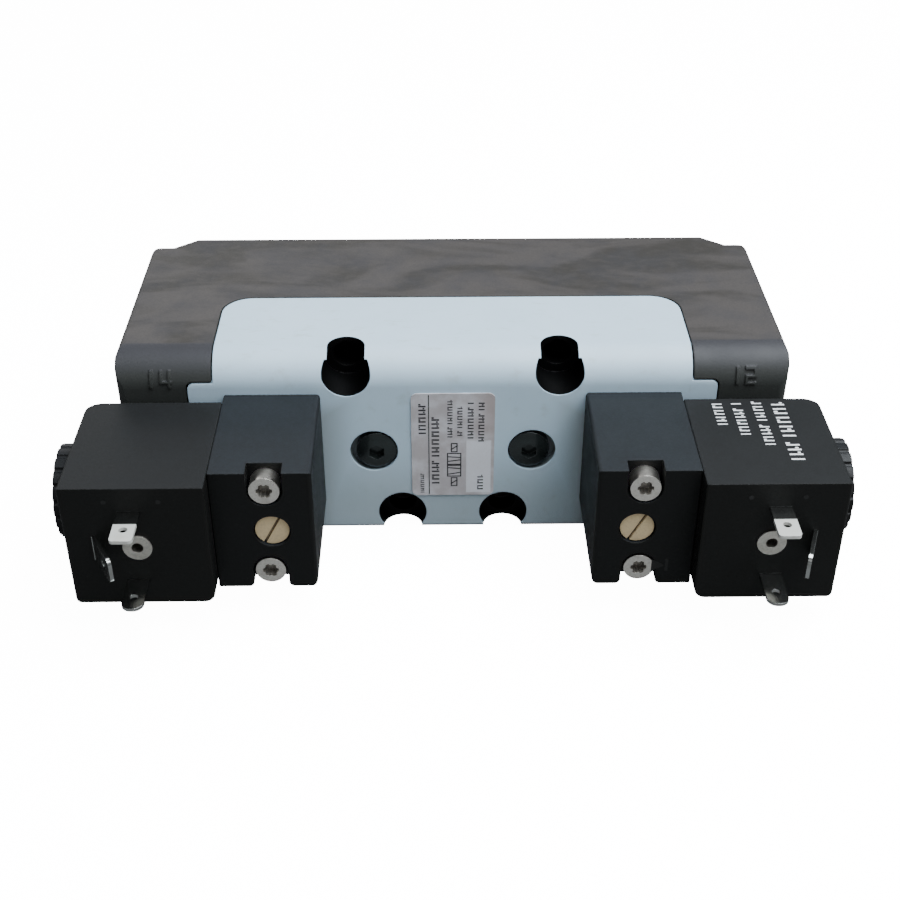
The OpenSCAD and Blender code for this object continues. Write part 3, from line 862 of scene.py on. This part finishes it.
@dataclass
class Marks:
    """Printed marks: thin closed plates on a face, in that face's own millimetres."""

    name: str
    body: str
    slot: str
    finish: Finish
    to_face: Matrix
    thickness: float = 0.04
    plates: List[List[Tuple[float, float]]] = field(default_factory=list)
    # Distance from one stroke of unread print to the next, as a part of their height
    PITCH: ClassVar[float] = 0.62
    # Number of strokes after which unread print repeats, and the one that is left out
    BEATS: ClassVar[int] = 11
    GAP: ClassVar[int] = 4
    DOT_SIDES: ClassVar[int] = 12

    def bar(self, left: float, bottom: float, width: float, height: float) -> None:
        """Adds an upright rectangle from its lower-left corner."""
        right, top = left + width, bottom + height
        self.plates.append([(left, bottom), (right, bottom), (right, top), (left, top)])

    def stroke(self, start: Tuple[float, float], end: Tuple[float, float], width: float) -> None:
        """Adds a straight line of ink.

        Args:
            start: One end.
            end: The other end.
            width: The line's width.
        """
        first, last = Vector(start), Vector(end)
        side = (last - first).orthogonal().normalized() * width / 2
        corners = (first + side, first - side, last - side, last + side)
        self.plates.append([(c.x, c.y) for c in corners])

    def unread_row(self, row: int, left: float, height: float, start: float, end: float,
                   weight: float) -> None:
        """Adds a row of strokes and gaps, along v, that has the weight of print but no letters.

        Args:
            row: The row's number, which varies its pattern.
            left: The row's left edge.
            height: Height of its strokes, across the row.
            start: Its first end.
            end: Its last end.
            weight: Width of a stroke, as a part of the distance between strokes.
        """
        pitch = height * self.PITCH
        stem = pitch * weight
        count = int((end - start) / pitch + 0.4)
        for index in range(count):
            along = start + index * pitch
            beat = (index * 7 + row * 3) % self.BEATS
            if beat == self.GAP:
                continue
            self.bar(left, along, height, stem)
            if beat % 3 != 0:
                reach = height * (0.35 + 0.06 * (beat % 5))
                shift = (height - reach) * (beat % 2)
                self.bar(left + shift, along + stem * 1.3, reach * 0.6, stem)

    def dot(self, u: float, v: float, radius: float) -> None:
        """Adds a round dot."""
        turns = [2 * math.pi * k / self.DOT_SIDES for k in range(self.DOT_SIDES)]
        self.plates.append([(u + radius * math.cos(a), v + radius * math.sin(a)) for a in turns])

    def frame_of(self, left: float, bottom: float, width: float, height: float,
                 line: float) -> None:
        """Adds the outline of a rectangle.

        Args:
            left: Its left edge.
            bottom: Its lower edge.
            width: Its width.
            height: Its height.
            line: Thickness of the line.
        """
        self.bar(left, bottom, width, line)
        self.bar(left, bottom + height - line, width, line)
        self.bar(left, bottom + line, line, height - 2 * line)
        self.bar(left + width - line, bottom + line, line, height - 2 * line)

    def build(self) -> bpy.types.Object:
        """Makes the marks as one mesh that rides on its body.

        Returns:
            The marks' object.
        """
        mesh = bmesh.new()
        for outline in self.plates:
            lower = [mesh.verts.new((u, v, -self.thickness / 2)) for u, v in outline]
            upper = [mesh.verts.new((u, v, self.thickness / 2)) for u, v in outline]
            mesh.faces.new(lower[::-1])
            mesh.faces.new(upper)
            for k in range(len(outline)):
                after = (k + 1) % len(outline)
                mesh.faces.new((lower[k], lower[after], upper[after], upper[k]))
        bmesh.ops.recalc_face_normals(mesh, faces=mesh.faces)
        mesh.transform(Matrix.Scale(MM, 4) @ self.to_face)
        data = bpy.data.meshes.new(self.name)
        mesh.to_mesh(data)
        mesh.free()
        data.materials.append(self.finish.material())
        piece = bpy.data.objects.new(self.name, data)
        bpy.context.scene.collection.objects.link(piece)
        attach(piece, self.body)
        log.info("%s: %d plates", self.name, len(self.plates))
        return piece


@dataclass
class ValveBody:
    """The cast body with the pilot housing let into its front."""

    casting: Finish = StainedCasting("dark_casting", (0.032, 0.035, 0.033))
    paint: Finish = HousingPaint("grey_paint", (0.485, 0.635, 0.755))
    screws: Finish = GlossBlack("black_screws", (0.030, 0.038, 0.038), 0.16)
    rubber: Finish = Rubber("gaskets", (0.016, 0.016, 0.016), 0.6)
    anodised: Finish = GlossBlack("black_anodised", (0.02, 0.02, 0.021), 0.32)
    clip: Finish = PlainMetal("clip_steel", (0.32, 0.32, 0.32), 0.35,
                              tarnish=(0.16, 0.15, 0.14))

    def build(self) -> None:
        """Dresses the body's nodes."""
        dress_node("main_body", self.casting.material())
        dress_node("pilot_housing", self.paint.material())
        dress_node("cover_screws", self.screws.material())
        rubber = self.rubber.material()
        for node in ("housing_gasket", "interface_gasket"):
            dress_node(node, rubber)
        anodised = self.anodised.material()
        for side in Side:
            dress_node(side.node("end_plug"), anodised)
            dress_node(side.node("end_ring"), rubber)
        dress_node("end_clips", self.clip.material())


@dataclass
class RatingLabel:
    """The label on the housing: a ruled line, rows of made-up print and the valve's symbol."""

    foil: Finish = LabelFoil("label_foil", (0.44, 0.415, 0.43), 0.36)
    ink: Finish = Ink("label_ink", (0.016, 0.015, 0.018), 0.5, backing=(0.25, 0.23, 0.24))
    rule_x: float = 3.95
    rule_w: float = 0.24
    rule_margin: float = 0.3
    symbol: Tuple[float, float] = (8.3, 2.4)
    # Rows of print that read upwards: left edge, letter height, lower end, upper end
    rows: Tuple[Tuple[float, float, float, float], ...] = (
        (2.0, 0.9, 0.8, 7.2),
        (1.7, 1.7, 17.6, 25.8),
        (4.7, 1.8, 3.4, 22.4),
        (8.4, 1.2, 16.6, 27.2),
        (10.7, 1.2, 17.0, 25.6),
        (13.1, 1.4, 15.4, 27.2),
        (15.6, 1.4, 15.4, 26.6),
        (15.5, 1.4, 1.6, 6.4),
    )

    def build(self) -> None:
        """Dresses the label and prints it."""
        dress_node("rating_label", self.foil.material())
        marks = Marks("label_print", "valve", "label", self.ink, front_face("rating_label"))
        rule_length = high("rating_label").z - low("rating_label").z - 2 * self.rule_margin
        marks.bar(self.rule_x, self.rule_margin, self.rule_w, rule_length)
        for row, (left, height, start, end) in enumerate(self.rows):
            marks.unread_row(row, left, height, start, end, weight=0.38)
        self.print_symbol(marks, *self.symbol)
        marks.build()

    def print_symbol(self, marks: Marks, left: float, bottom: float) -> None:
        """Adds the plain circuit symbol of a five-port, two-position valve, read upwards.

        Args:
            marks: The marks to add to.
            left: Its left edge.
            bottom: Its lower end.
        """
        line = 0.28
        square = 3.4
        actuator = 3.0
        for k in range(2):
            base = bottom + actuator + k * square
            near, far = left + 0.3, left + square - 0.3
            marks.frame_of(left, base, square, square, line)
            marks.stroke((near, base + 0.7 + k * 1.6), (far, base + 1.2 + k * 0.9), line)
            marks.stroke((near, base + 2.6 - k * 1.6), (far, base + 2.3 - k * 0.9), line)
        for end in (bottom, bottom + actuator + 2 * square):
            marks.frame_of(left + 0.9, end + 0.2, 1.6, 2.6, line)
            marks.stroke((left + 0.9, end + 0.9), (left + 2.5, end + 2.1), line)


@dataclass
class SpoolValve:
    """The sleeve, spool and pistons inside the body."""

    aluminium: Finish = PlainMetal("machined_aluminium", (0.78, 0.78, 0.77), 0.28,
                                   tarnish=(0.5, 0.5, 0.5), lines=Vector((8, 1, 1)))
    seals: Finish = Rubber("seals", (0.018, 0.018, 0.018), 0.5)

    def build(self) -> None:
        """Dresses the spool's nodes."""
        aluminium = self.aluminium.material()
        seals = self.seals.material()
        dress_node("sleeve", aluminium)
        dress_node("spool", aluminium)
        dress_node("sleeve_rings", seals)
        dress_node("spool_rings", seals)
        for side in Side:
            dress_node(side.node("piston"), aluminium)
            dress_node(side.node("piston_ring"), seals)


@dataclass
class PilotValve:
    """One pilot valve: its block, screws, override and plunger."""

    side: Side
    plastic: Finish = MouldedPlastic("pilot_plastic", (0.0032, 0.0032, 0.0030), 0.46,
                                     dust_and_sheen=(0.0155, 0.0195, 0.0245), dust_and_sheen_amount=0.8)
    rubber: Finish = Rubber("pilot_rubber", (0.015, 0.015, 0.015), 0.55)
    stainless: Finish = PlainMetal("stainless", (0.60, 0.60, 0.61), 0.25,
                                   tarnish=(0.42, 0.42, 0.42), lines=Vector((8, 1, 1)))
    nozzle_brass: Finish = PlainMetal("nozzle_brass", (0.72, 0.55, 0.27), 0.3,
                                      tarnish=(0.45, 0.33, 0.17))
    spring: Finish = PlainMetal("spring_wire", (0.55, 0.55, 0.55), 0.3, tarnish=(0.3, 0.3, 0.3))
    star_radius: float = 1.8
    slot_radius: float = 4.0
    recess_depth: float = 0.35
    # The flow mark's left and lower corner on the block's front, its size and its bar's width
    flow_corner: Tuple[float, float] = (13.0, 3.4)
    flow_size: float = 3.0
    flow_bar: float = 0.7

    def screw_finish(self) -> Finish:
        """Nickel plating, with star recesses darkened by dirt and painted shade.

        Returns:
            The finish of this side's screws.
        """
        node = self.side.node("pilot_screws")
        face, end, centre = low(node), high(node), middle(node)
        head = (end.x - face.x) / 2
        recesses = tuple((centre.x, z, self.star_radius) for z in (face.z + head, end.z - head))
        return PlainMetal("screw_nickel_" + self.side.value, (0.80, 0.77, 0.71), 0.20,
                          tarnish=(0.46, 0.43, 0.38), dirt_and_shade_amount=0.5, recess=recesses,
                          recess_from=face.y + self.recess_depth)

    def override_finish(self) -> Finish:
        """Dull brass, with its slot darkened by dirt and painted shade.

        Returns:
            The finish of this side's override.
        """
        node = self.side.node("override")
        centre, face = middle(node), low(node)
        return PlainMetal("override_brass_" + self.side.value, (0.70, 0.56, 0.34), 0.45,
                          tarnish=(0.48, 0.38, 0.23), metallic=0.45,
                          recess=((centre.x, centre.z, self.slot_radius),),
                          recess_from=face.y + self.recess_depth, dirt_and_shade_amount=0.6,
                          grime=(0.12, 0.09, 0.055))

    def add_flow_mark(self) -> None:
        """Adds a small black arrow and bar, low on the block's front."""
        finish = Rubber("flow_mark_black", (0.001, 0.001, 0.001), 0.6)
        marks = Marks("flow_mark", "valve", "block_plastic", finish,
                      front_face(self.side.node("pilot_block")))
        (left, bottom), size = self.flow_corner, self.flow_size
        tip = (left + size, bottom + size * 0.55)
        marks.plates.append([(left, bottom), tip, (left, bottom + size * 1.1)])
        marks.bar(left + size, bottom, self.flow_bar, size * 1.1)
        marks.build()

    def build(self) -> None:
        """Dresses the pilot valve's nodes."""
        node = self.side.node
        dress_node(node("pilot_block"), self.plastic.material())
        dress_node(node("pilot_screws"), self.screw_finish().material())
        dress_node(node("override"), self.override_finish().material())
        rubber = self.rubber.material()
        for name in ("pilot_gasket", "override_ring", "tube_ring", "plunger_seat"):
            dress_node(node(name), rubber)
        stainless = self.stainless.material()
        for name in ("core_tube", "plunger"):
            dress_node(node(name), stainless)
        dress_node(node("nozzle"), self.nozzle_brass.material())
        if self.side is Side.RIGHT:
            self.add_flow_mark()
        dress_node(node("plunger_spring"), self.spring.material())


@dataclass
class Coil:
    """One coil with its blades and its knurled nut."""

    side: Side
    resin: Finish = MouldedPlastic("coil_resin", (0.0034, 0.0033, 0.0028), 0.48,
                                   dust_and_sheen=(0.0105, 0.0118, 0.0135), dust_and_sheen_amount=0.75)
    nut: Finish = MouldedPlastic("nut_plastic", (0.004, 0.004, 0.0042), 0.38,
                                 dust_and_sheen=(0.014, 0.016, 0.019))
    tin: Finish = PlainMetal("tinned_brass", (0.66, 0.64, 0.58), 0.28, tarnish=(0.34, 0.33, 0.30))
    iron: Finish = PlainMetal("yoke_iron", (0.42, 0.42, 0.43), 0.4, tarnish=(0.25, 0.25, 0.25))
    nylon: Finish = MouldedPlastic("bobbin_nylon", (0.62, 0.58, 0.50), 0.4,
                                   dust_and_sheen=(0.7, 0.66, 0.58))
    copper: Finish = WoundCopper("winding_copper", (0.68, 0.30, 0.14))
    rubber: Finish = Rubber("nut_rubber", (0.015, 0.015, 0.015), 0.55)
    print_ink: Finish = Ink("coil_print", (0.72, 0.73, 0.74), 0.5, backing=(0.25, 0.25, 0.25),
                            gaps=0.35)
    # The matt tip's length, and how far above the blades' middle the upper blade is
    tip_length: float = 5.6
    upper_blade: float = 6.0
    # Rows of white print that read towards the front: distance from the coil's inner face,
    # width, distance behind the front, and length
    rows: Tuple[Tuple[float, float, float, float], ...] = (
        (6.0, 2.2, 22.6, 9.4),
        (10.4, 2.2, 18.6, 13.2),
        (15.0, 2.2, 14.6, 17.2),
        (19.4, 2.9, 8.8, 23.4),
    )
    # Distances of the gate marks from the coil's outer face, and their distance from its top
    gates: Tuple[float, float] = (9.6, 21.0)
    gate_drop: float = 3.4
    gate_radius: float = 0.55

    def build(self) -> None:
        """Dresses the coil's nodes and adds its print and marks."""
        node = self.side.node
        dress_node(node("coil"), self.resin.material())
        dress_node(node("coil_nut"), self.nut.material())
        blade_tin = BladeTin("blade_tin_" + self.side.value, (0.40, 0.41, 0.40), 0.12,
                             tip_y=low(node("blades")).y + self.tip_length,
                             above_z=middle(node("blades")).z + self.upper_blade)
        dress_node(node("blades"), blade_tin.material())
        dress_node(node("plug_insert"), self.tin.material())
        dress_node(node("yoke"), self.iron.material())
        dress_node(node("bobbin"), self.nylon.material())
        dress_node(node("winding"), self.copper.material())
        dress_node(node("nut_ring"), self.rubber.material())
        self.add_gate_marks()
        if self.side is Side.RIGHT:
            self.print_ratings()

    def print_ratings(self) -> None:
        """Prints rows of plain strokes on top of the coil, in the place of its ratings."""
        corner, far = low(self.side.node("coil")), high(self.side.node("coil"))
        to_face = Matrix.Translation((corner.x, corner.y, far.z))
        marks = Marks("coil_print", "valve", "label", self.print_ink, to_face)
        for row, (left, width, start, length) in enumerate(self.rows):
            marks.unread_row(row, left, width, start, start + length, weight=0.30)
        marks.build()

    def add_gate_marks(self) -> None:
        """Adds the two small round gate marks that the mould leaves high on the coil's front."""
        coil = self.side.node("coil")
        width, _, height = high(coil) - low(coil)
        finish = Rubber("gate_marks_" + self.side.value, (0.001, 0.001, 0.001), 0.6)
        marks = Marks(self.side.node("gate_marks"), "valve", "coil_plastic", finish,
                      front_face(coil))
        for along in self.gates:
            across = along if self.side is Side.LEFT else width - along
            marks.dot(across, height - self.gate_drop, self.gate_radius)
        marks.build()


@dataclass(frozen=True)
class Lamp:
    """A soft rectangular light that faces the valve.

    Attributes:
        name: Its name.
        where: Its place, in metres.
        size: Its width and height, in metres.
        power: Its power, in watts.
        colour: Its colour.
    """

    name: str
    where: Tuple[float, float, float]
    size: Tuple[float, float]
    power: float
    colour: Colour = (1.0, 1.0, 1.0)


@dataclass
class Studio:
    """The floor, the lights and the camera."""

    aim: Vector = field(default_factory=lambda: Vector((-0.7, -9.35, 23.75)) * MM)
    distance: float = 328.7 * MM
    azimuth: float = 0.74
    elevation: float = 34.34
    lens: float = 56.27
    floor_size: float = 6.0
    glow: float = 14.0
    sky: Colour = (0.93, 0.96, 1.0)
    sky_strength: float = 0.27
    lit_floor: Colour = (0.16, 0.16, 0.16)
    lamps: Tuple[Lamp, ...] = (
        Lamp("overhead", (0.24, -0.06, 0.78), (0.8, 0.6), 18.0, (0.90, 0.96, 1.0)),
        Lamp("front_fill", (0.0, -1.1, 0.55), (1.0, 0.6), 0.8),
        Lamp("side_fill", (0.75, -0.45, 0.60), (0.5, 0.5), 1.8),
        Lamp("back_fill", (-0.5, 1.2, 0.40), (1.0, 0.5), 3.0),
    )

    def build(self) -> None:
        """Sets up the studio."""
        self.add_camera()
        self.add_floor()
        for lamp in self.lamps:
            self.add_light(lamp)
        self.add_world()

    def add_world(self) -> None:
        """Adds the surroundings: a dim, even light, and white to look at."""
        world = bpy.data.worlds.new("studio")
        world.use_nodes = True
        nodes, links = world.node_tree.nodes, world.node_tree.links
        light, seen = nodes["Background"], nodes.new("ShaderNodeBackground")
        light.inputs["Color"].default_value = (*self.sky, 1.0)
        light.inputs["Strength"].default_value = self.sky_strength
        seen.inputs["Color"].default_value = (1.0, 1.0, 1.0, 1.0)
        seen.inputs["Strength"].default_value = self.glow
        choice, path = nodes.new("ShaderNodeMixShader"), nodes.new("ShaderNodeLightPath")
        links.new(path.outputs["Is Camera Ray"], choice.inputs[0])
        links.new(light.outputs[0], choice.inputs[1])
        links.new(seen.outputs[0], choice.inputs[2])
        links.new(choice.outputs[0], nodes["World Output"].inputs["Surface"])
        bpy.context.scene.world = world

    def add_camera(self) -> None:
        """Adds the camera at its angle to the valve."""
        az, el = math.radians(self.azimuth), math.radians(self.elevation)
        forward = Vector((math.sin(az) * math.cos(el), math.cos(az) * math.cos(el), -math.sin(el)))
        data = bpy.data.cameras.new("camera")
        data.lens = self.lens
        data.sensor_width = 36.0
        data.clip_start = 0.01
        camera = bpy.data.objects.new("camera", data)
        camera.location = self.aim - forward * self.distance
        camera.rotation_euler = forward.to_track_quat("-Z", "Y").to_euler()
        bpy.context.scene.collection.objects.link(camera)
        bpy.context.scene.camera = camera

    def add_floor(self) -> None:
        """Adds the floor under the valve: white to look at, but it throws little light back."""
        half = self.floor_size / 2
        data = bpy.data.meshes.new("floor")
        corners = [(-half, -half), (half, -half), (half, half), (-half, half)]
        data.from_pydata([(x, y, cad_box[0][2]) for x, y in corners], [], [(0, 1, 2, 3)])
        graph = Graph("floor_paper")
        at = graph.place()
        fibre = graph.noise(at, 40, 2)
        seen = Field(graph, graph.node("ShaderNodeLightPath", {}, {}).outputs["Is Camera Ray"])
        paper = graph.mix(fibre, (0.90, 0.90, 0.90), (0.93, 0.93, 0.93))
        graph.paint(
            Base_Color=graph.mix(seen, self.lit_floor, paper), Roughness=0.9,
            Specular_IOR_Level=0.1, Emission_Strength=self.glow,
            Emission_Color=graph.mix(seen, (0.0, 0.0, 0.0), (1.0, 1.0, 1.0)),
        )
        data.materials.append(graph.material)
        floor = bpy.data.objects.new("floor", data)
        bpy.context.scene.collection.objects.link(floor)

    def add_light(self, lamp: Lamp) -> None:
        """Adds a light, turned towards the valve.

        Args:
            lamp: The light's name, place, size, power and colour.
        """
        data = bpy.data.lights.new(lamp.name, "AREA")
        data.shape = "RECTANGLE"
        data.size, data.size_y = lamp.size
        data.energy = lamp.power
        data.color = lamp.colour
        light = bpy.data.objects.new(lamp.name, data)
        light.location = lamp.where
        towards = Vector((0, 0, 0.02)) - Vector(lamp.where)
        light.rotation_euler = towards.to_track_quat("-Z", "Y").to_euler()
        bpy.context.scene.collection.objects.link(light)


def main() -> None:
    """Builds the studio and each sub-assembly in order."""
    Studio().build()
    ValveBody().build()
    RatingLabel().build()
    SpoolValve().build()
    for side in Side:
        PilotValve(side).build()
        Coil(side).build()


if __name__ == "__main__":
    main()
